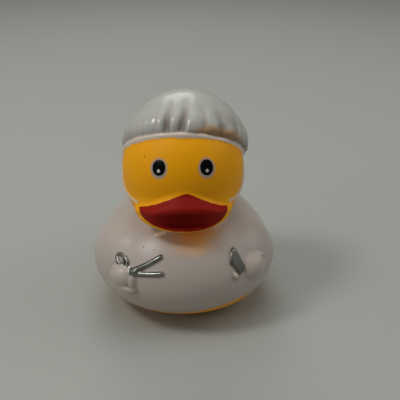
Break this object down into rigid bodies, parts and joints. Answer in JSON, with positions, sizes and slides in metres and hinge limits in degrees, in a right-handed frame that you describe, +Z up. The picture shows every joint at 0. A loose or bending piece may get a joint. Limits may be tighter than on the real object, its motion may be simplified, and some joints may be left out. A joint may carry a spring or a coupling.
{
  "type": "rubber duck",
  "caption": "Small hollow vinyl rubber duck in a surgeon's cap and gown, with moulded scissors and scalpel, standing on a flat base with a vent hole.",
  "frame": {"origin": "bottom centre of the duck's bounding box, in the plane of the flat under its body", "axes": "the duck faces -Y, +Z is up, +X is to the viewer's right when the face is looked at"},
  "size_m": [0.0464, 0.0557, 0.0559],
  "materials": {
    "vinyl": "satin"
  },
  "bodies": {
    "root": {"duck_body": "vinyl"}
  },
  "joints": []
}
